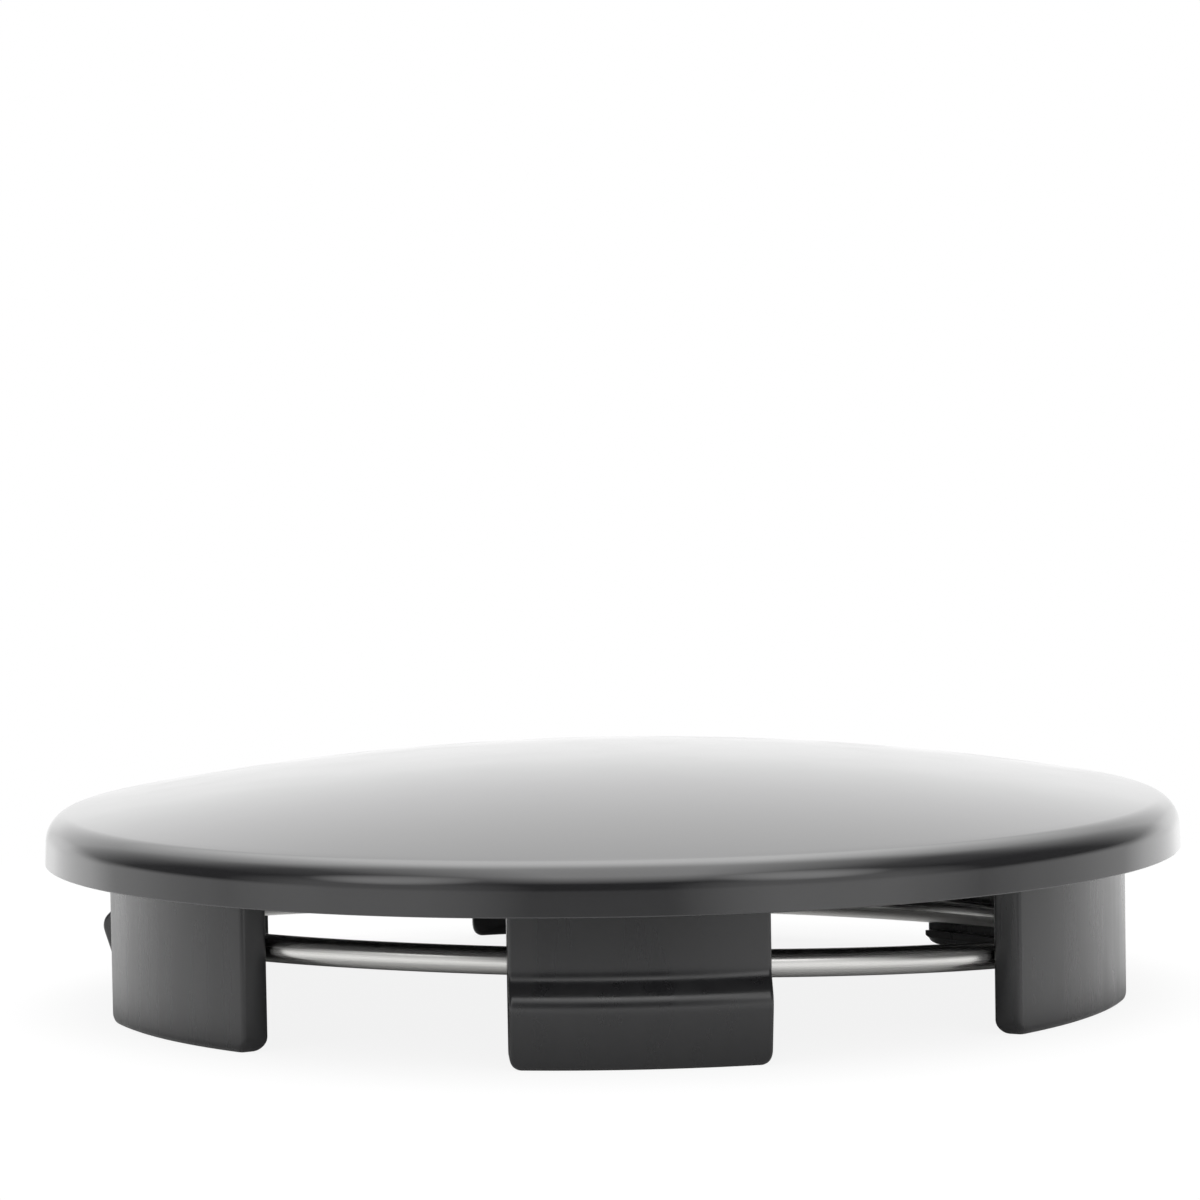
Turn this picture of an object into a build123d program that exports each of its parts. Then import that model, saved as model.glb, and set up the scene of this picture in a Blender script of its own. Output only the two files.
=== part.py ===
from build123d import *
import os
from math import atan2, degrees, sqrt

# Snap-in wheel centre cap, standing on its leg tips with its domed face up.
# The origin is the centre of the leg-tip plane, and a barbed clip faces -Y.

# Face and rim, in millimetres
face_diameter = 60.0
rim_height = 2.4
dome_rise = 2.95
face_wall = 2.0
rim_top_radius = 1.2
rim_bottom_chamfer = 0.2

# Recess under the face: a flat ceiling that slopes down to a wall flush with the legs
ceiling_diameter = 16.0

# Legs: plain walls that centre the cap, in turn with barbed clips that hold it
leg_pairs = 3
leg_height = 7.7
leg_inner_diameter = 51.8
leg_corner_radius = 0.6
leg_tip_chamfer = 0.3
leg_edge_chamfer = 0.15

# Plain walls
wall_width = 14.0
wall_thickness = 1.4

# Barbed clips
clip_width = 12.8
clip_azimuth = -90.0
neck_thickness = 1.8
tip_thickness = 1.8
catch_depth = 1.15
crest_height = 3.4
catch_rise = 1.1
crest_radius = 0.8
neck_radius = 0.4

# Lip inside each clip's tip that keeps the wire ring in
lip_height = 0.8
lip_depth = 0.7
lip_inset = 0.5
lip_lead_in = 0.4

# Spring wire ring, leaning in the room between the lips and the face
wire_diameter = 1.4
wire_end_chamfer = 0.2
ring_clearance = 0.1
ring_lip_clearance = 0.4
ring_headroom = 1.9
ring_high_azimuth = -121.0
ring_gap_angle = 5.0
ring_gap_azimuth = 92.0

# Worked-out radii and heights
face_radius = face_diameter / 2
leg_inner_radius = leg_inner_diameter / 2
wall_outer_radius = leg_inner_radius + wall_thickness
neck_outer_radius = leg_inner_radius + neck_thickness
tip_outer_radius = leg_inner_radius + tip_thickness
crest_outer_radius = neck_outer_radius + catch_depth
lip_root_radius = leg_inner_radius + neck_thickness / 2
lip_inner_radius = leg_inner_radius - lip_depth
ceiling_radius = ceiling_diameter / 2
seat_z = leg_height
rim_z = seat_z + rim_height
crown_z = rim_z + dome_rise
ceiling_z = crown_z - face_wall
dome_radius = (face_radius**2 + dome_rise**2) / (2 * dome_rise)
recess_z = ceiling_z - dome_radius + sqrt(dome_radius**2 - leg_inner_radius**2)


def leg_front(width):
    """Front outline of a leg with rounded tip corners, drawn out from the axis along +X."""
    with BuildPart() as front:
        with BuildSketch(Plane.YZ) as outline:
            with Locations((0, leg_height / 2)):
                Rectangle(width, leg_height)
            fillet(outline.vertices().group_by(Axis.Y)[0], leg_corner_radius)
        extrude(amount=face_diameter)
    return front.part


wall_front = leg_front(wall_width)
clip_front = leg_front(clip_width)
lip_front = leg_front(clip_width - 2 * lip_inset)

# Plain wall, standing on the +X axis
with BuildPart() as plain_wall:
    with BuildSketch(Plane.XZ) as wall_section:
        with BuildLine():
            Polyline(
                (leg_inner_radius, seat_z),
                (leg_inner_radius, 0),
                (wall_outer_radius, 0),
                (wall_outer_radius, seat_z),
                close=True,
            )
        make_face()
        chamfer(wall_section.vertices().group_by(Axis.Y)[0], leg_tip_chamfer)
    revolve(axis=Axis.Z)
    with Locations((face_radius, 0, leg_height / 2)):
        Box(face_diameter, wall_width, leg_height, mode=Mode.INTERSECT)
    wall_ends = plain_wall.faces().filter_by(Axis.Y)
    chamfer(wall_ends.edges().filter_by(Axis.Z), leg_edge_chamfer)
    add(wall_front, mode=Mode.INTERSECT)

# Lip for the wire ring, standing on the +X axis and rooted in its clip
with BuildPart() as ring_lip:
    with BuildSketch(Plane.XZ):
        with BuildLine():
            Polyline(
                (lip_root_radius, lip_height),
                (lip_inner_radius, lip_height),
                (lip_inner_radius, lip_lead_in),
                (lip_inner_radius + lip_lead_in, 0),
                (lip_root_radius, 0),
                close=True,
            )
        make_face()
    revolve(axis=Axis.Z)
    add(lip_front, mode=Mode.INTERSECT)

# Barbed clip, standing on the +X axis: neck, sloping catch, crest and tapered lead-in
with BuildPart() as barbed_clip:
    with BuildSketch(Plane.XZ) as clip_section:
        with BuildLine():
            Polyline(
                (leg_inner_radius, seat_z),
                (leg_inner_radius, 0),
                (tip_outer_radius, 0),
                (crest_outer_radius, crest_height),
                (neck_outer_radius, crest_height + catch_rise),
                (neck_outer_radius, seat_z),
                close=True,
            )
        make_face()
        fillet(clip_section.vertices().sort_by(Axis.X)[-1], crest_radius)
        fillet(clip_section.vertices().group_by(Axis.Y)[-2], neck_radius)
        chamfer(clip_section.vertices().group_by(Axis.Y)[0].sort_by(Axis.X)[-1], leg_tip_chamfer)
    revolve(axis=Axis.Z)
    with Locations((face_radius, 0, leg_height / 2)):
        Box(face_diameter, clip_width, leg_height, mode=Mode.INTERSECT)
    clip_ends = barbed_clip.faces().filter_by(Axis.Y)
    chamfer(clip_ends.edges().group_by(Axis.Z)[1:-1], leg_edge_chamfer)
    add(clip_front, mode=Mode.INTERSECT)
    add(ring_lip.part)

# Cap body: face, rim, walls and clips in one moulding
with BuildPart() as cap_body:
    with BuildSketch(Plane.XZ) as face_section:
        with BuildLine():
            TangentArc((0, crown_z), (face_radius, rim_z), tangent=(1, 0))
            Polyline(
                (face_radius, rim_z),
                (face_radius, seat_z),
                (leg_inner_radius, seat_z),
                (leg_inner_radius, recess_z),
                (ceiling_radius, ceiling_z),
                (0, ceiling_z),
                (0, crown_z),
            )
        make_face()
        fillet(face_section.vertices().group_by(Axis.X)[-1].sort_by(Axis.Y)[-1], rim_top_radius)
        chamfer(face_section.vertices().group_by(Axis.X)[-1].sort_by(Axis.Y)[0], rim_bottom_chamfer)
    revolve(axis=Axis.Z)
    with PolarLocations(0, leg_pairs, start_angle=clip_azimuth):
        add(barbed_clip.part)
    with PolarLocations(0, leg_pairs, start_angle=clip_azimuth + 180 / leg_pairs):
        add(plain_wall.part)
cap_body.part.label = "cap_body"

# Open wire ring: its low side lies over the lips, its high side under the face
ring_radius = leg_inner_radius - ring_clearance - wire_diameter / 2
ring_low_z = lip_height + ring_lip_clearance + wire_diameter / 2
ring_high_z = seat_z - ring_headroom - wire_diameter / 2
ring_lean = degrees(atan2(ring_high_z - ring_low_z, 2 * ring_radius))
lean_axis = Axis((0, 0, 0), Vector(1, 0, 0).rotate(Axis.Z, ring_high_azimuth - 90))
ring_plane = Plane(
    origin=(0, 0, (ring_high_z + ring_low_z) / 2),
    x_dir=Vector(1, 0, 0).rotate(Axis.Z, ring_gap_azimuth),
    z_dir=Vector(0, 0, 1).rotate(lean_axis, ring_lean),
)
with BuildPart() as retaining_ring:
    with BuildLine(ring_plane) as ring_line:
        CenterArc((0, 0), ring_radius, ring_gap_angle / 2, 360 - ring_gap_angle)
    with BuildSketch(Plane(origin=ring_line.line @ 0, z_dir=ring_line.line % 0)):
        Circle(wire_diameter / 2)
    sweep(path=ring_line.line)
    wire_ends = retaining_ring.faces().filter_by(GeomType.PLANE)
    chamfer(wire_ends.edges(), wire_end_chamfer)
retaining_ring.part.label = "retaining_ring"

os.makedirs("parts", exist_ok=True)
export_step(cap_body.part, "parts/cap_body.step")
export_step(retaining_ring.part, "parts/retaining_ring.step")
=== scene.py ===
"""Snap-in wheel centre cap: a black moulding on six legs with a spring wire ring, in a white studio."""

import logging
import math
from dataclasses import dataclass, field
from enum import Enum
from typing import Iterator, Sequence

import bmesh
import bpy
from mathutils import Matrix, Vector


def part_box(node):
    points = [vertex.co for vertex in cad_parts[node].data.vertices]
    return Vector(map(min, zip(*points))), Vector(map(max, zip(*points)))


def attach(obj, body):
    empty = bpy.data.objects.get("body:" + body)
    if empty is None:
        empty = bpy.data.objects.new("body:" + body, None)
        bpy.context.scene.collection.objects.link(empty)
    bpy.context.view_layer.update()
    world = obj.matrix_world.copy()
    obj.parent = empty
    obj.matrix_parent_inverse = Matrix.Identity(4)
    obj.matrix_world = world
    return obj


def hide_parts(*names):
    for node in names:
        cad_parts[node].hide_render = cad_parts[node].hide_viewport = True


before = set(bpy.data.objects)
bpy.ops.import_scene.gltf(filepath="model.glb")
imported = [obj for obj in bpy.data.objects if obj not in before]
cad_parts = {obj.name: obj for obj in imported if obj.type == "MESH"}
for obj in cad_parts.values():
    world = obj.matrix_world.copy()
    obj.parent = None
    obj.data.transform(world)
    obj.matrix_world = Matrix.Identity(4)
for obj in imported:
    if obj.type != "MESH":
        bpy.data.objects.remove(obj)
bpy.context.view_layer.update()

MM = 0.001
BODY = "root"
WHITE = (1.0, 1.0, 1.0, 1.0)

Colour = tuple[float, float, float]
Stretch = tuple[float, float, float]
Range = tuple[float, float]

log = logging.getLogger("centre_cap")


class Slot(Enum):
    """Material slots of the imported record."""

    MOULDING = "black_abs"
    WIRE = "spring_steel"


class LegKind(Enum):
    """The two kinds of leg that alternate round the spigot."""

    WALL = "plain_wall"
    CLIP = "barbed_clip"


class Skin(Enum):
    """The moulding's two finishes, by their order on its mesh."""

    POLISHED = 0
    SATIN = 1


@dataclass(frozen=True)
class Corner:
    """A corner of a section, by its radius and height, with the round that softens it."""

    r: float
    z: float
    round: float = 0.0


def rounded(corners: Sequence[Corner], steps: int = 6, guard: float = 0.25) -> list[Vector]:
    """Draws a closed section with its corners rounded.

    Args:
        corners: The section's corners in order.
        steps: Straight runs that make up each round.
        guard: Share of a round's radius between its ends and the extra points
            that keep the sides by it flat.

    Returns:
        The section's points as radius and height.
    """
    spots = [Vector((corner.r, corner.z)) for corner in corners]
    points: list[Vector] = []
    for i, corner in enumerate(corners):
        if corner.round <= 0:
            points.append(spots[i])
            continue
        back = (spots[i - 1] - spots[i]).normalized()
        ahead = (spots[(i + 1) % len(spots)] - spots[i]).normalized()
        half = back.angle(ahead) / 2
        cut = corner.round / math.tan(half)
        centre = spots[i] + (back + ahead).normalized() * (corner.round / math.sin(half))
        spoke = spots[i] + back * cut - centre
        turn = (math.pi - 2 * half) * math.copysign(1, ahead.cross(back))
        points.append(spots[i] + back * (cut + guard * corner.round))
        for step in range(steps + 1):
            angle = turn * step / steps
            cos, sin = math.cos(angle), math.sin(angle)
            points.append(centre + Vector((spoke.x * cos - spoke.y * sin, spoke.x * sin + spoke.y * cos)))
        points.append(spots[i] + ahead * (cut + guard * corner.round))
    return points


def round_drop(past: float, radius: float) -> float:
    """Gives how far a quarter round has dropped at a distance past its start."""
    past = min(max(past, 0.0), radius)
    return radius - math.sqrt(radius * radius - past * past)


def quarter_steps(radius: float, steps: int) -> list[float]:
    """Gives distances past the start of a quarter round that cut it into even angles."""
    return [radius * math.sin(math.pi / 2 * step / steps) for step in range(steps + 1)]


def new_object(
    name: str, bm: bmesh.types.BMesh, materials: Sequence[bpy.types.Material]
) -> bpy.types.Object:
    """Turns a finished bmesh into an object of the scene.

    Args:
        name: The piece's name.
        bm: The mesh, which is freed.
        materials: Its materials, in the order of their indices.

    Returns:
        The new object.
    """
    bmesh.ops.recalc_face_normals(bm, faces=bm.faces[:])
    mesh = bpy.data.meshes.new(name)
    bm.to_mesh(mesh)
    bm.free()
    for material in materials:
        mesh.materials.append(material)
    obj = bpy.data.objects.new(name, mesh)
    bpy.context.scene.collection.objects.link(obj)
    return obj


def shade(mesh: bpy.types.Mesh, crease: float) -> None:
    """Shades a mesh smooth and keeps the edges that turn by more than the crease angle sharp."""
    mesh.shade_smooth()
    mesh.set_sharp_from_angle(angle=crease)


def hand_over(piece: bpy.types.Object, node: str) -> None:
    """Sets a finished piece in its CAD node's place on the cap's one body.

    Args:
        piece: The piece.
        node: The CAD node that it stands for.
    """
    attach(piece, BODY)
    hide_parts(node)
    log.info("%s: %d faces in place of %s", piece.name, len(piece.data.polygons), node)


class Graph:
    """Wires the nodes of one shader tree."""

    def __init__(self, tree: bpy.types.NodeTree) -> None:
        """Starts from an emptied tree."""
        self.tree = tree
        self.tree.nodes.clear()

    def node(self, kind: str, inputs: dict | None = None, **settings) -> bpy.types.Node:
        """Adds a node.

        Args:
            kind: Blender's name of the node's type, without its ShaderNode prefix.
            inputs: Values for its sockets, by name or place. A socket is linked, and anything else is set.
            **settings: The node's own properties.

        Returns:
            The node.
        """
        made = self.tree.nodes.new("ShaderNode" + kind)
        for name, value in settings.items():
            setattr(made, name, value)
        for key, value in (inputs or {}).items():
            if isinstance(value, bpy.types.NodeSocket):
                self.tree.links.new(value, made.inputs[key])
            else:
                made.inputs[key].default_value = value
        return made

    def maths(self, operation: str, *values: bpy.types.NodeSocket | float) -> bpy.types.NodeSocket:
        """Works out one operation on its values and returns the result."""
        return self.node("Math", dict(enumerate(values)), operation=operation).outputs[0]

    def blend(
        self,
        share: bpy.types.NodeSocket,
        first: bpy.types.NodeSocket | float,
        second: bpy.types.NodeSocket | float,
    ) -> bpy.types.NodeSocket:
        """Goes from one value to another by a share from 0 to 1 and returns the result."""
        return self.node("Mix", {"Factor": share, "A": first, "B": second}).outputs[0]

    def layer(
        self, share: bpy.types.NodeSocket, under: bpy.types.NodeSocket, over: bpy.types.NodeSocket
    ) -> bpy.types.NodeSocket:
        """Lays one shader over another by a share from 0 to 1 and returns the result."""
        return self.node("MixShader", {0: share, 1: under, 2: over}).outputs[0]

    def noise(self, where: bpy.types.NodeSocket, scale: float, detail: float = 3.0) -> bpy.types.NodeSocket:
        """Adds fractal noise and returns its value from 0 to 1."""
        return self.node("TexNoise", {"Vector": where, "Scale": scale, "Detail": detail}).outputs[0]

    def span(self, value: bpy.types.NodeSocket, source: Range, target: Range) -> bpy.types.NodeSocket:
        """Maps a value from one range to another, held at the ends, and returns it."""
        ends = {"From Min": source[0], "From Max": source[1], "To Min": target[0], "To Max": target[1]}
        return self.node("MapRange", {"Value": value, **ends}).outputs[0]

    def shades(self, value: bpy.types.NodeSocket, dark: Colour, light: Colour) -> bpy.types.NodeSocket:
        """Turns a value into a colour between two shades.

        Args:
            value: The value from 0 to 1.
            dark: The colour at 0.
            light: The colour at 1.

        Returns:
            The colour.
        """
        ramp = self.node("ValToRGB", {0: value})
        ramp.color_ramp.elements[0].color = (*dark, 1)
        ramp.color_ramp.elements[1].color = (*light, 1)
        return ramp.outputs[0]

    def stretched(self, where: bpy.types.NodeSocket, scale: Stretch) -> bpy.types.NodeSocket:
        """Scales coordinates by a different amount along each axis and returns them."""
        return self.node("Mapping", {"Vector": where, "Scale": scale}).outputs[0]


def new_material(name: str) -> tuple[bpy.types.Material, Graph]:
    """Makes a node material.

    Args:
        name: The finish's name.

    Returns:
        The material and its emptied tree, ready to wire.
    """
    material = bpy.data.materials.new(name)
    material.use_nodes = True
    return material, Graph(material.node_tree)


@dataclass(frozen=True)
class PolishedBlack:
    """Black plastic moulded against a polished tool: the face and the rim."""

    dark: Colour = (0.009, 0.009, 0.010)
    light: Colour = (0.014, 0.014, 0.015)
    roughness: Range = (0.06, 0.11)
    tint_scale: float = 90.0
    haze_scale: float = 260.0
    haze_detail: float = 6.0
    haze_range: Range = (0.35, 0.65)
    peel_scale: float = 700.0
    peel_height: float = 0.004 * MM
    peel_strength: float = 0.12
    ior: float = 1.7

    def material(self) -> bpy.types.Material:
        """Builds the finish: deep black, faint haze and the slight ripple of moulded gloss.

        Returns:
            The material.
        """
        material, graph = new_material("polished_black")
        where = graph.node("TexCoord").outputs["Object"]
        haze = graph.noise(where, self.haze_scale, self.haze_detail)
        ripple = graph.node("Bump", {
            "Height": graph.noise(where, self.peel_scale),
            "Distance": self.peel_height,
            "Strength": self.peel_strength,
        })
        shader = graph.node("BsdfPrincipled", {
            "Base Color": graph.shades(graph.noise(where, self.tint_scale), self.dark, self.light),
            "Roughness": graph.span(haze, self.haze_range, self.roughness),
            "IOR": self.ior,
            "Normal": ripple.outputs[0],
        })
        graph.node("OutputMaterial", {"Surface": shader.outputs[0]})
        return material


@dataclass(frozen=True)
class SatinBlack:
    """Black plastic moulded against a fine-ground tool: the legs and the underside."""

    dark: Colour = (0.009, 0.009, 0.010)
    light: Colour = (0.014, 0.014, 0.015)
    roughness: Range = (0.25, 0.33)
    streak_stretch: Stretch = (1.0, 1.0, 0.12)
    streak_scale: float = 900.0
    streak_detail: float = 5.0
    streak_range: Range = (0.3, 0.7)
    grain_scale: float = 5200.0
    grain_detail: float = 2.0
    grain_height: float = 0.012 * MM
    grain_strength: float = 0.15
    ior: float = 1.56

    def material(self) -> bpy.types.Material:
        """Builds the finish: satin black with upright draw marks and a fine grain.

        Returns:
            The material.
        """
        material, graph = new_material("satin_black")
        where = graph.node("TexCoord").outputs["Object"]
        upright = graph.stretched(where, self.streak_stretch)
        streaks = graph.noise(upright, self.streak_scale, self.streak_detail)
        grain = graph.node("Bump", {
            "Height": graph.noise(where, self.grain_scale, self.grain_detail),
            "Distance": self.grain_height,
            "Strength": self.grain_strength,
        })
        shader = graph.node("BsdfPrincipled", {
            "Base Color": graph.shades(streaks, self.dark, self.light),
            "Roughness": graph.span(streaks, self.streak_range, self.roughness),
            "IOR": self.ior,
            "Normal": grain.outputs[0],
        })
        graph.node("OutputMaterial", {"Surface": shader.outputs[0]})
        return material


@dataclass(frozen=True)
class DrawnSteel:
    """Bright spring wire with the fine lines of its drawing die along it."""

    dark: Colour = (0.46, 0.455, 0.44)
    light: Colour = (0.72, 0.715, 0.70)
    roughness: Range = (0.16, 0.30)
    line_stretch: Stretch = (6.0, 60.0, 1.0)
    line_scale: float = 1.0
    line_detail: float = 4.0
    line_range: Range = (0.3, 0.7)
    line_height: float = 0.004 * MM
    line_strength: float = 0.25

    def material(self) -> bpy.types.Material:
        """Builds the finish from coordinates that run along and round the wire.

        Returns:
            The material.
        """
        material, graph = new_material("drawn_steel")
        where = graph.stretched(graph.node("TexCoord").outputs["UV"], self.line_stretch)
        lines = graph.noise(where, self.line_scale, self.line_detail)
        bump = graph.node("Bump", {
            "Height": lines,
            "Distance": self.line_height,
            "Strength": self.line_strength,
        })
        shader = graph.node("BsdfPrincipled", {
            "Base Color": graph.shades(lines, self.dark, self.light),
            "Roughness": graph.span(lines, self.line_range, self.roughness),
            "Metallic": 1.0,
            "Normal": bump.outputs[0],
        })
        graph.node("OutputMaterial", {"Surface": shader.outputs[0]})
        return material


@dataclass
class Face:
    """The domed face with its rim and the recess under it, turned from one profile."""

    radius: float
    crown_z: float
    seat_z: float = 7.7 * MM
    dome_rise: float = 2.95 * MM
    wall: float = 2.0 * MM
    rim_round: float = 1.5 * MM
    rim_lean: float = 0.06 * MM
    foot_round: float = 0.07 * MM
    recess_radius: float = 25.95 * MM
    recess_round: float = 0.15 * MM
    ceiling_radius: float = 8.0 * MM
    segments: int = 288
    dome_steps: int = 48
    round_steps: int = 20

    def ball_radius(self) -> float:
        """Gives the radius of the ball that the dome is cut from."""
        return (self.radius**2 + self.dome_rise**2) / (2 * self.dome_rise)

    def outer(self) -> Iterator[Vector]:
        """Draws the profile of the dome and the round of the rim, from the crown outwards.

        Yields:
            The profile's points as radius and height.
        """
        ball = self.ball_radius()
        ball_z = self.crown_z - ball
        reach = self.radius - self.rim_round - self.rim_lean
        edge = math.asin(reach / (ball - self.rim_round))
        round_z = ball_z + (ball - self.rim_round) * math.cos(edge)
        last = math.pi / 2 - math.atan2(self.rim_lean, round_z - self.seat_z)
        for step in range(self.dome_steps):
            angle = edge * step / self.dome_steps
            yield Vector((ball * math.sin(angle), ball_z + ball * math.cos(angle)))
        for step in range(self.round_steps + 1):
            angle = edge + (last - edge) * step / self.round_steps
            spoke = Vector((self.rim_round * math.sin(angle), self.rim_round * math.cos(angle)))
            yield Vector((reach, round_z)) + spoke

    def under(self) -> list[Vector]:
        """Draws the profile of the rim's foot, the seat and the recess, inwards to the axis.

        Returns:
            The profile's points as radius and height.
        """
        ball = self.ball_radius()
        ceiling_z = self.crown_z - self.wall
        recess_z = ceiling_z - ball + math.sqrt(ball**2 - self.recess_radius**2)
        *_, side = self.outer()
        crown_and_side = [Corner(0, self.crown_z), Corner(side.x, side.y)]
        corners = [
            Corner(self.radius, self.seat_z, self.foot_round),
            Corner(self.recess_radius, self.seat_z, self.recess_round),
            Corner(self.recess_radius, recess_z, self.recess_round),
            Corner(self.ceiling_radius, ceiling_z, self.recess_round),
            Corner(0, ceiling_z),
        ]
        return rounded(crown_and_side + corners)[len(crown_and_side):]

    def turn(self, bm: bmesh.types.BMesh) -> None:
        """Turns the whole profile about the cap's axis into a closed skin.

        Args:
            bm: The mesh that takes the skin.
        """
        rings: list[list[bmesh.types.BMVert]] = []
        for point in [*self.outer(), *self.under()]:
            places = self.segments if point.x > 0 else 1
            ring = []
            for i in range(places):
                angle = math.tau * i / places
                spot = (point.x * math.cos(angle), point.x * math.sin(angle), point.y)
                ring.append(bm.verts.new(spot))
            rings.append(ring)
        for inner, outer in zip(rings, rings[1:]):
            for i in range(self.segments):
                j = i + 1
                loop = [
                    inner[i % len(inner)],
                    outer[i % len(outer)],
                    outer[j % len(outer)],
                    inner[j % len(inner)],
                ]
                bm.faces.new(list(dict.fromkeys(loop)))


@dataclass
class Leg:
    """A leg of the spigot: a turned section between two flat sides, with softened ends and tip corners."""

    kind: LegKind
    width: float
    section: list[Corner]
    edge_round: float = 0.18 * MM
    tip_corner: float = 0.6 * MM
    tip_reach: float = 2.0 * MM
    middle_steps: int = 20
    edge_steps: int = 5
    corner_steps: int = 8
    least_mitre: float = 0.5
    merge_digits: int = 8

    def stations(self) -> list[float]:
        """Chooses the places across the leg where its section is drawn, closest at the rounds.

        Returns:
            The places, from one side to the other.
        """
        half = self.width / 2
        flat = half - self.tip_corner
        side = [flat + step for step in quarter_steps(self.tip_corner, self.corner_steps)]
        side += [half - self.edge_round + step for step in quarter_steps(self.edge_round, self.edge_steps)]
        middle = [flat * (2 * i / self.middle_steps - 1) for i in range(self.middle_steps + 1)]
        places = [*middle, *side, *(-place for place in side)]
        return sorted({round(place, self.merge_digits) for place in places})

    def outline(self, inset: float, lift: float) -> list[Vector]:
        """Draws the section pulled in on all sides, with its tip lifted.

        Args:
            inset: How far every side stands back.
            lift: How far the tip is raised. The leg above its reach stays as it is.

        Returns:
            The section's points as radius and height.
        """
        points = rounded(self.section)
        moved: list[Vector] = []
        for i, point in enumerate(points):
            before = (point - points[i - 1]).normalized()
            after = (points[(i + 1) % len(points)] - point).normalized()
            run = (before + after).normalized()
            share = max(run.dot(after), self.least_mitre)
            spot = point - Vector((run.y, -run.x)) * (inset / share)
            spot.y += lift * max(0.0, 1 - spot.y / self.tip_reach)
            moved.append(spot)
        return moved

    def loft(self, bm: bmesh.types.BMesh, azimuth: float) -> None:
        """Builds the leg at its place round the cap's axis.

        Args:
            bm: The mesh that takes the leg.
            azimuth: The direction from the axis to the leg's middle.
        """
        turn = Matrix.Rotation(azimuth, 3, "Z")
        half = self.width / 2
        rings: list[list[bmesh.types.BMVert]] = []
        for across in self.stations():
            inset = round_drop(abs(across) - half + self.edge_round, self.edge_round)
            lift = round_drop(abs(across) - half + self.tip_corner, self.tip_corner)
            ring = []
            for spot in self.outline(inset, lift):
                out = math.sqrt(spot.x**2 - across**2)
                ring.append(bm.verts.new(turn @ Vector((out, across, spot.y))))
            rings.append(ring)
        for near, far in zip(rings, rings[1:]):
            for i in range(len(near)):
                bm.faces.new((near[i - 1], near[i], far[i], far[i - 1]))
        bm.faces.new(rings[0])
        bm.faces.new(rings[-1])


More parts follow.
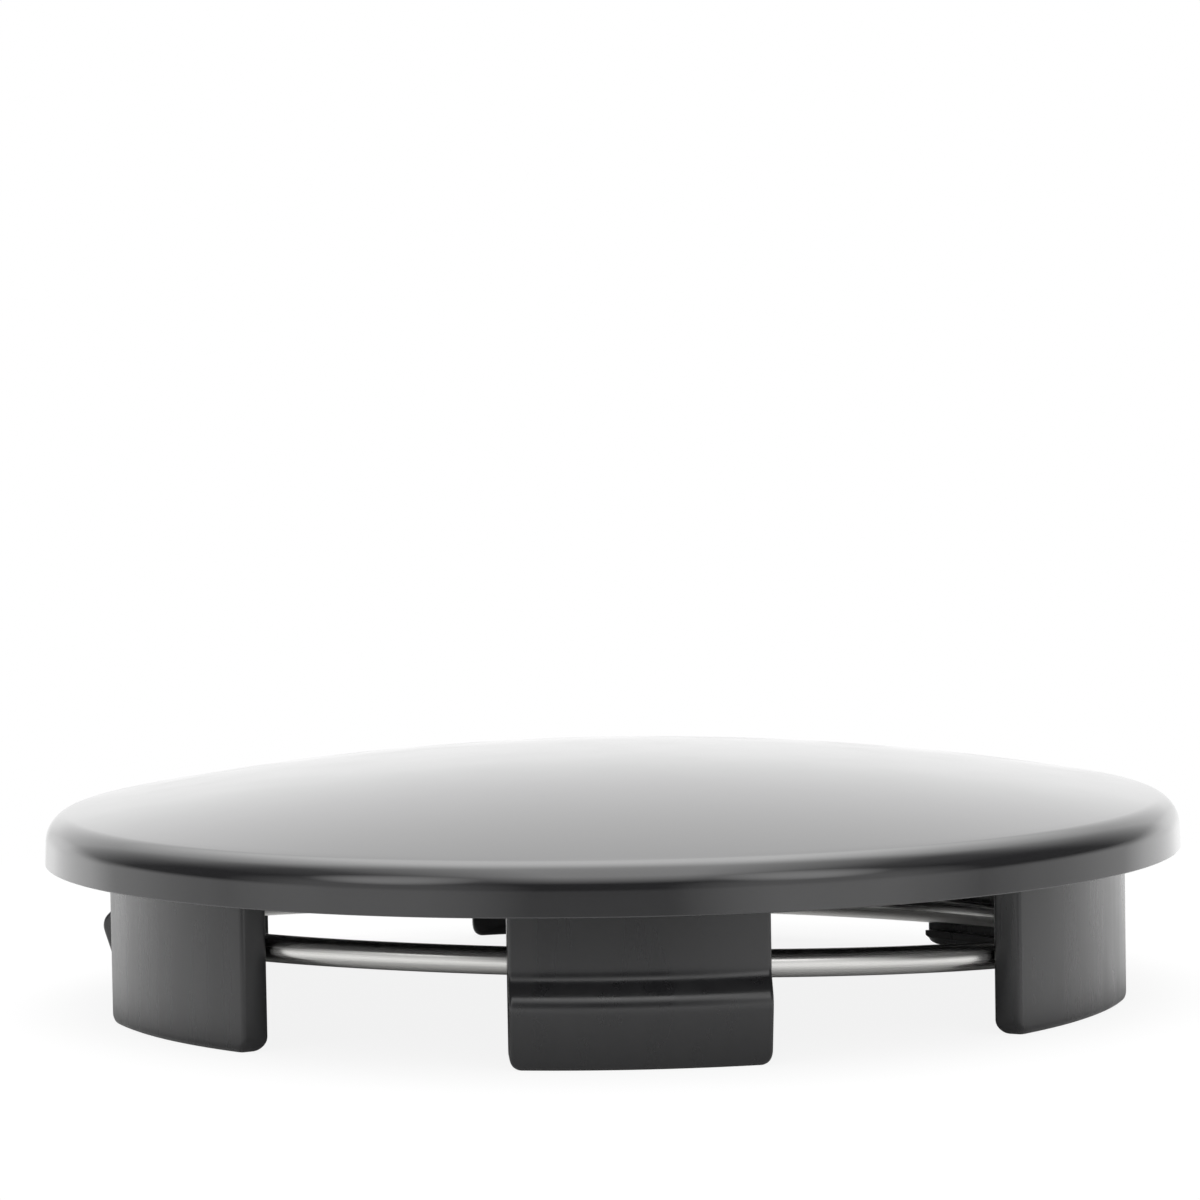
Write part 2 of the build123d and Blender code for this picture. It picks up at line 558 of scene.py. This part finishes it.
@dataclass
class CapBody:
    """The whole moulding: the face, three plain walls and three barbed clips with their lips."""

    face: Face
    pairs: int = 3
    clip_azimuth: float = math.radians(-90)
    inner_radius: float = 25.9 * MM
    # The legs run up into the face by this much, and lean clear of the recess there
    sunk: float = 0.6 * MM
    sunk_lean: float = 0.5 * MM
    tip_round: float = 0.35 * MM
    tip_inner_round: float = 0.5 * MM
    wall_width: float = 14.0 * MM
    wall_thickness: float = 1.4 * MM
    clip_width: float = 12.8 * MM
    neck_thickness: float = 1.8 * MM
    tip_thickness: float = 1.8 * MM
    catch_depth: float = 1.15 * MM
    catch_rise: float = 1.1 * MM
    crest_height: float = 3.4 * MM
    crest_round: float = 0.8 * MM
    neck_round: float = 0.8 * MM
    lip_height: float = 0.8 * MM
    lip_depth: float = 0.7 * MM
    lip_inset: float = 0.5 * MM
    lip_lead_in: float = 0.4 * MM
    satin_over_seat: float = 0.01 * MM
    polished_band: float = 3.0 * MM
    crease: float = math.radians(32)
    polished: PolishedBlack = field(default_factory=PolishedBlack)
    satin: SatinBlack = field(default_factory=SatinBlack)

    def wall_leg(self) -> Leg:
        """Draws a plain wall: a straight section with both tip edges rounded.

        Returns:
            The wall, which can be built at any azimuth.
        """
        seat = self.face.seat_z
        outer = self.inner_radius + self.wall_thickness
        section = [
            Corner(self.inner_radius + self.sunk_lean, seat + self.sunk),
            Corner(self.inner_radius, seat),
            Corner(self.inner_radius, 0, self.tip_inner_round),
            Corner(outer, 0, self.tip_round),
            Corner(outer, seat + self.sunk),
        ]
        return Leg(LegKind.WALL, self.wall_width, section)

    def clip_leg(self) -> Leg:
        """Draws a barbed clip: neck, sloping catch, rounded crest and tapered lead-in.

        Returns:
            The clip, which can be built at any azimuth.
        """
        seat = self.face.seat_z
        neck = self.inner_radius + self.neck_thickness
        section = [
            Corner(self.inner_radius + self.sunk_lean, seat + self.sunk),
            Corner(self.inner_radius, seat),
            Corner(self.inner_radius, 0),
            Corner(self.inner_radius + self.tip_thickness, 0, self.tip_round),
            Corner(neck + self.catch_depth, self.crest_height, self.crest_round),
            Corner(neck, self.crest_height + self.catch_rise, self.neck_round),
            Corner(neck, seat + self.sunk),
        ]
        return Leg(LegKind.CLIP, self.clip_width, section)

    def lip(self) -> Leg:
        """Draws the lip inside a clip's tip that keeps the wire ring in.

        Returns:
            The lip, which can be built at any clip's azimuth.
        """
        inner = self.inner_radius - self.lip_depth
        root = self.inner_radius + self.neck_thickness / 2
        section = [
            Corner(root, self.lip_height),
            Corner(inner, self.lip_height),
            Corner(inner, self.lip_lead_in),
            Corner(inner + self.lip_lead_in, 0),
            Corner(root, 0),
        ]
        return Leg(LegKind.CLIP, self.clip_width - 2 * self.lip_inset, section, tip_reach=self.lip_height)

    def places(self, kind: LegKind) -> list[float]:
        """Gives the azimuths of the legs of one kind."""
        first = self.clip_azimuth + (math.pi / self.pairs if kind is LegKind.WALL else 0)
        return [first + math.tau * i / self.pairs for i in range(self.pairs)]

    def build(self) -> bpy.types.Object:
        """Builds the moulding as one closed mesh, polished above the seat and satin below it.

        Returns:
            The moulding.
        """
        materials = [self.polished.material(), self.satin.material()]
        bm = bmesh.new()
        self.face.turn(bm)
        body = new_object("cap_moulding", bm, materials)
        tools = []
        for name, legs in (("legs", [self.wall_leg(), self.clip_leg()]), ("lips", [self.lip()])):
            bm = bmesh.new()
            for leg in legs:
                for azimuth in self.places(leg.kind):
                    leg.loft(bm, azimuth)
            tools.append(new_object(name, bm, materials))
        self.unite(body, tools)
        self.dress(body.data)
        return body

    def unite(self, body: bpy.types.Object, tools: Sequence[bpy.types.Object]) -> None:
        """Joins the legs and lips to the face in one closed skin and removes the loose copies.

        Args:
            body: The turned face, which becomes the whole moulding.
            tools: The legs and the lips.
        """
        for tool in tools:
            join = body.modifiers.new(tool.name, "BOOLEAN")
            join.operation = "UNION"
            join.solver = "EXACT"
            join.object = tool
        graph = bpy.context.evaluated_depsgraph_get()
        joined = bpy.data.meshes.new_from_object(body.evaluated_get(graph))
        body.modifiers.clear()
        body.data = joined
        for tool in tools:
            bpy.data.objects.remove(tool)

    def dress(self, mesh: bpy.types.Mesh) -> None:
        """Gives the faces below the seat, and those of the recess, the satin finish.

        Args:
            mesh: The moulding's mesh.
        """
        under = self.face.seat_z + self.satin_over_seat
        rim = self.face.radius - self.polished_band
        for polygon in mesh.polygons:
            centre = polygon.center
            hollow = polygon.normal.z < 0 and math.hypot(centre.x, centre.y) < rim
            skin = Skin.SATIN if centre.z < under or hollow else Skin.POLISHED
            polygon.material_index = skin.value
        shade(mesh, self.crease)


@dataclass
class WireRing:
    """The open spring ring that leans inside the legs, low on the lips and high under the face."""

    radius: float = 25.1 * MM
    wire: float = 1.4 * MM
    low_z: float = 1.9 * MM
    high_z: float = 5.1 * MM
    high_azimuth: float = math.radians(-121)
    gap: float = math.radians(5)
    gap_azimuth: float = math.radians(92)
    end_round: float = 0.2 * MM
    arc_steps: int = 360
    end_steps: int = 5
    round_steps: int = 32
    crease: float = math.radians(35)
    steel: DrawnSteel = field(default_factory=DrawnSteel)

    def axes(self) -> Matrix:
        """Lays the ring's leaning plane.

        Returns:
            The plane as a matrix whose X axis points at the gap.
        """
        lean = math.atan2(self.high_z - self.low_z, 2 * self.radius)
        level = self.high_azimuth - math.pi / 2
        tilt_about = Vector((math.cos(level), math.sin(level), 0))
        up = Matrix.Rotation(lean, 3, tilt_about) @ Vector((0, 0, 1))
        gap = Vector((math.cos(self.gap_azimuth), math.sin(self.gap_azimuth), 0))
        across = up.cross(gap).normalized()
        plane = Matrix((across.cross(up), across, up)).transposed().to_4x4()
        plane.translation = (0, 0, (self.low_z + self.high_z) / 2)
        return plane

    def stations(self) -> Iterator[tuple[float, float]]:
        """Follows the wire from one end to the other.

        Yields:
            The angle past the wire's first end, and the wire's radius there.
        """
        length = math.tau - self.gap
        ends = [self.end_round - step for step in reversed(quarter_steps(self.end_round, self.end_steps))]
        thicks = [self.wire / 2 - round_drop(self.end_round - past, self.end_round) for past in ends]
        for past, thick in zip(ends, thicks):
            yield past / self.radius, thick
        for i in range(1, self.arc_steps):
            yield length * i / self.arc_steps, self.wire / 2
        for past, thick in zip(reversed(ends), reversed(thicks)):
            yield length - past / self.radius, thick

    def build(self) -> bpy.types.Object:
        """Bends the wire round its plane, with coordinates along and round it for the drawn lines.

        Returns:
            The ring.
        """
        plane = self.axes()
        bm = bmesh.new()
        along = bm.loops.layers.uv.new("along_wire")
        rings, turns = [], []
        for past, thick in self.stations():
            out = Vector((math.cos(past + self.gap / 2), math.sin(past + self.gap / 2), 0))
            ring = []
            for i in range(self.round_steps):
                angle = math.tau * i / self.round_steps
                spot = out * (self.radius + thick * math.cos(angle))
                spot.z = thick * math.sin(angle)
                ring.append(bm.verts.new(plane @ spot))
            rings.append(ring)
            turns.append(past / math.tau)
        for place, (near, far) in enumerate(zip(rings, rings[1:])):
            for i in range(self.round_steps):
                j = (i + 1) % self.round_steps
                wall = bm.faces.new((near[i], near[j], far[j], far[i]))
                marks = [(place, i), (place, i + 1), (place + 1, i + 1), (place + 1, i)]
                for loop, (ring_no, step) in zip(wall.loops, marks):
                    loop[along].uv = (turns[ring_no], step / self.round_steps)
        bm.faces.new(rings[0])
        bm.faces.new(rings[-1])
        ring_object = new_object("wire_ring", bm, [self.steel.material()])
        shade(ring_object.data, self.crease)
        return ring_object


@dataclass(frozen=True)
class PhotoCamera:
    """The photograph's camera, fitted to the cap's rim and legs in its 1200 pixel frame."""

    frame_px: float = 1200.0
    focal_px: float = 5648.2
    centre_px: tuple[float, float] = (612.6, 846.9)
    centre_z: float = 7.8 * MM
    distance: float = 300.0 * MM
    near_clip: float = 10.0 * MM
    elevation: float = math.radians(6.327)
    swing: float = math.radians(-2.6)
    roll: float = math.radians(-0.961)

    def place(self) -> bpy.types.Object:
        """Stands the camera where a point on the cap's axis, low in the rim, falls on its pixel.

        Returns:
            The camera, set as the scene's own.
        """
        level = math.cos(self.elevation)
        ahead, aside = level * math.cos(self.swing), level * math.sin(self.swing)
        back = Vector((aside, -ahead, math.sin(self.elevation)))
        right = Vector((0, 0, 1)).cross(back).normalized()
        aim = Matrix((right, back.cross(right), back)).transposed()
        middle = self.frame_px / 2
        shown = Vector((self.centre_px[0] - middle, middle - self.centre_px[1]))
        off = Matrix.Rotation(self.roll, 2) @ shown
        sight = Vector((off.x, off.y, -self.focal_px))
        tilt = sight.rotation_difference(Vector((0, 0, -1))).to_matrix()
        lens = bpy.data.cameras.new("camera")
        lens.lens = lens.sensor_width * self.focal_px / self.frame_px
        lens.clip_start = self.near_clip
        camera = bpy.data.objects.new("camera", lens)
        stand = Vector((0, 0, self.centre_z)) + back * self.distance
        turned = aim @ tilt @ Matrix.Rotation(self.roll, 3, "Z")
        camera.matrix_world = Matrix.Translation(stand) @ turned.to_4x4()
        bpy.context.scene.collection.objects.link(camera)
        bpy.context.scene.camera = camera
        return camera


@dataclass(frozen=True)
class Glow:
    """A round soft light on the room's walls, full up to one angle from its middle and gone at another."""

    toward: tuple[float, float, float]
    full: float
    edge: float
    light: float

    def shine(self, graph: Graph, direction: bpy.types.NodeSocket) -> bpy.types.NodeSocket:
        """Works out the glow's light in a direction.

        Args:
            graph: The room's shader tree.
            direction: The direction, one unit long.

        Returns:
            The light.
        """
        line = Vector(self.toward).normalized()
        near = graph.node("VectorMath", {0: direction, 1: line}, operation="DOT_PRODUCT").outputs["Value"]
        return graph.span(near, (math.cos(self.edge), math.cos(self.full)), (0, self.light))


@dataclass
class Studio:
    """White room with a pale floor.

    The back wall is bright in its middle and dim at its upper sides. The front is dim. A light runs
    along the ceiling, and soft glows stand at the front corners and low in the back corners.
    The ranges of the walls, the front and the ceiling are parts of a unit direction: X to the right,
    Y to the back and Z up. Those of the floor are distances from the cap's axis.
    """

    horizon: float = 1.15
    wall_light: float = 1.45
    wall_foot: float = math.sin(math.radians(8))
    wall_span: Range = (0.05, 0.35)
    wall_head: Range = (0.6, 0.9)
    wall_head_gain: float = 0.9
    wall_sides: Range = (0.55, 0.9)
    wall_side_gain: float = 0.1
    front_horizon: float = 0.45
    side_horizon: float = 0.95
    front_span: Range = (-0.5, 0.0)
    front_light: float = 0.12
    ceiling_light: float = 2.4
    ceiling_rise: Range = (0.47, 0.85)
    ceiling_sides: Range = (0.18, 0.65)
    ceiling_edge: float = 0.18
    floor_radius: float = 0.12
    floor_segments: int = 96
    floor_fade: Range = (0.042, 0.08)
    floor_colour: Colour = (0.85, 0.85, 0.85)
    floor_glow: float = 0.88
    floor_sheen: float = 0.2
    # Painted shade under the cap: the floor's glow in reflections fades in across these distances from the
    # axis, so it is absent under the cap
    painted_shade_reach: Range = (0.022, 0.036)
    glows: tuple[Glow, ...] = (
        Glow((-0.78, -0.61, 0.14), math.radians(14), math.radians(34), 0.62),
        Glow((0.66, -0.735, 0.14), math.radians(14), math.radians(34), 0.82),
        Glow((-0.647, -0.502, 0.574), math.radians(5), math.radians(17), 1.6),
        Glow((0.527, -0.628, 0.574), math.radians(5), math.radians(17), 1.6),
        Glow((-0.6, 0.8, -0.2), math.radians(14), math.radians(24), 0.5),
        Glow((0.6, 0.8, -0.2), math.radians(14), math.radians(24), 0.5),
    )

    def room_light(self, graph: Graph) -> bpy.types.NodeSocket:
        """Works out how bright the room is in every direction.

        Args:
            graph: The room's shader tree.

        Returns:
            The light from the walls, the ceiling and the glows together.
        """
        direction = graph.node("TexCoord").outputs["Generated"]
        axes = graph.node("SeparateXYZ", {0: direction}).outputs
        aside = graph.maths("ABSOLUTE", axes["X"])
        rise = graph.span(axes["Z"], (0, self.wall_foot), (0, 1))
        front_low = graph.span(axes["Y"], self.front_span, (self.front_horizon, self.side_horizon))
        front = graph.blend(rise, front_low, self.front_light)
        side_light = self.wall_light * self.wall_side_gain
        sides = graph.span(aside, self.wall_sides, (self.wall_light, side_light))
        head = graph.span(axes["Z"], self.wall_head, (1, self.wall_head_gain))
        wall = graph.blend(rise, self.horizon, graph.maths("MULTIPLY", sides, head))
        back = graph.span(axes["Y"], self.wall_span, (0, 1))
        walls = graph.blend(back, front, wall)
        edge_light = self.ceiling_light * self.ceiling_edge
        strip = graph.span(aside, self.ceiling_sides, (self.ceiling_light, edge_light))
        above = graph.span(axes["Z"], self.ceiling_rise, (0, 1))
        light = graph.maths("MULTIPLY_ADD", strip, above, walls)
        for glow in self.glows:
            light = graph.maths("ADD", light, glow.shine(graph, direction))
        return light

    def world(self) -> None:
        """Lights the room from its walls. The camera sees the room as plain white."""
        world = bpy.data.worlds.new("white_room")
        bpy.context.scene.world = world
        world.use_nodes = True
        graph = Graph(world.node_tree)
        room = graph.node("Background", {"Color": WHITE, "Strength": self.room_light(graph)})
        white = graph.node("Background", {"Color": WHITE, "Strength": 1.0})
        seen = graph.node("LightPath").outputs["Is Camera Ray"]
        shown = graph.layer(seen, room.outputs[0], white.outputs[0])
        graph.node("OutputWorld", {"Surface": shown})

    def floor_material(self) -> bpy.types.Material:
        """Builds the floor's finish: matt white that keeps a light shadow and fades into the room. In
        reflections it glows, except under the cap, where the glow is held back as painted shade.

        Returns:
            The material.
        """
        material, graph = new_material("white_floor")
        matt = graph.node("BsdfDiffuse", {"Color": (*self.floor_colour, 1)})
        glow = graph.node("Emission", {"Color": WHITE, "Strength": 1.0})
        clear = graph.node("BsdfTransparent")
        path = graph.node("LightPath").outputs
        where = graph.node("TexCoord").outputs["Object"]
        away = graph.node("VectorMath", {0: where}, operation="LENGTH").outputs["Value"]
        mirrored = graph.maths("MAXIMUM", path["Is Glossy Ray"], path["Is Transmission Ray"])
        # Painted shade: reflections see the floor's glow only outside the cap's footprint, and it fades to
        # nothing under the cap
        sheen_outside_painted_shade = graph.span(away, self.painted_shade_reach, (0, self.floor_sheen))
        sheen = graph.maths("MULTIPLY", mirrored, sheen_outside_painted_shade)
        direct = graph.maths("MULTIPLY", path["Is Camera Ray"], self.floor_glow)
        floor = graph.layer(graph.maths("MAXIMUM", direct, sheen), matt.outputs[0], glow.outputs[0])
        fade = graph.span(away, self.floor_fade, (0, 1))
        ends = graph.layer(fade, floor, clear.outputs[0])
        graph.node("OutputMaterial", {"Surface": ends})
        return material

    def floor(self, level: float) -> None:
        """Lays the round floor under the legs' tips.

        Args:
            level: The floor's height.
        """
        bm = bmesh.new()
        bmesh.ops.create_circle(bm, cap_ends=True, radius=self.floor_radius, segments=self.floor_segments)
        bmesh.ops.translate(bm, verts=bm.verts[:], vec=(0, 0, level))
        new_object("floor", bm, [self.floor_material()])

    def build(self, level: float) -> None:
        """Sets up the room round the cap.

        Args:
            level: The floor's height.
        """
        self.world()
        self.floor(level)
        bpy.context.scene.view_settings.view_transform = "Standard"


def main() -> None:
    """Builds the cap, its ring and the studio, in that order."""
    logging.basicConfig(level=logging.INFO, format="%(name)s: %(message)s")
    low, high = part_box("cap_body")
    face = Face(radius=(high.x - low.x) / 2, crown_z=high.z)
    hand_over(CapBody(face).build(), "cap_body")
    hand_over(WireRing().build(), "retaining_ring")
    Studio().build(low.z)
    PhotoCamera().place()


if __name__ == "__main__":
    main()
